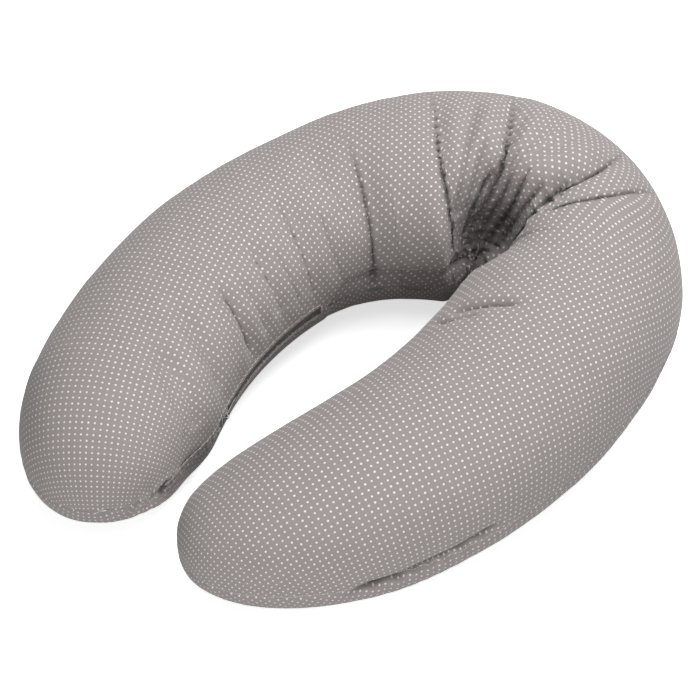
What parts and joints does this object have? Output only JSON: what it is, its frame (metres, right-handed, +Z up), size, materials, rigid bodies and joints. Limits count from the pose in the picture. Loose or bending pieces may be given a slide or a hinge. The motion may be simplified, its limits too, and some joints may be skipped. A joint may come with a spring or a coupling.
{
  "type": "nursing pillow",
  "caption": "Long crescent-shaped stuffed pillow in a pin-dotted cotton cover that zips off along its inner side; wraps round a sitting or lying parent to prop up a feeding baby.",
  "frame": {"origin": "middle of the pillow's box in plan, at the level of the surface that it lies on", "axes": "+X along the pillow's longest extent from the open side of the crescent towards its tight bend, +Y towards the arm that carries the zip, +Z up"},
  "size_m": [0.7413, 0.5396, 0.1862],
  "materials": {
    "dotted_cotton": "matt plain-woven cotton with small white pin dots",
    "sewing_thread": "matt spun thread",
    "zip_tape": "matt woven tape",
    "zip_coil": "satin nylon",
    "zip_metal": "satin paint on die-cast metal",
    "label_satin": "soft satin ribbon, blank",
    "liner_cotton": "matt undyed cotton",
    "bead_filling": "white expanded beads, packed loosely"
  },
  "bodies": {
    "pillow": {"cover_top_panel": "dotted_cotton", "cover_bottom_panel": "dotted_cotton", "cover_seam_thread": "sewing_thread", "zip_tape_upper": "zip_tape", "zip_tape_lower": "zip_tape", "zip_coil_upper": "zip_coil", "zip_coil_lower": "zip_coil", "zip_end_stop_upper": "zip_metal", "zip_end_stop_lower": "zip_metal", "zip_bottom_stop": "zip_metal", "zip_facing_upper": "dotted_cotton", "zip_facing_lower": "dotted_cotton", "bar_tack_closed_end": "sewing_thread", "bar_tack_open_end": "sewing_thread", "care_label": "label_satin", "liner_top_panel": "liner_cotton", "liner_bottom_panel": "liner_cotton", "liner_seam_thread": "sewing_thread", "bead_filling": "bead_filling"},
    "slider": {"zip_slider": "zip_metal"},
    "pull_tab": {"zip_pull_tab": "zip_metal"}
  },
  "joints": [
    {"name": "zip_travel", "type": "hinge", "parent": "pillow", "child": "slider", "pos_m": [-0.00992, -0.26206, 0.057], "axis": [0, 0, -1], "range_deg": [0, 29]},
    {"name": "pull_swing", "type": "hinge", "parent": "slider", "child": "pull_tab", "pos_m": [-0.16812, 0.02161, 0.057], "axis": [0, 0, -1], "range_deg": [0, 175]}
  ]
}
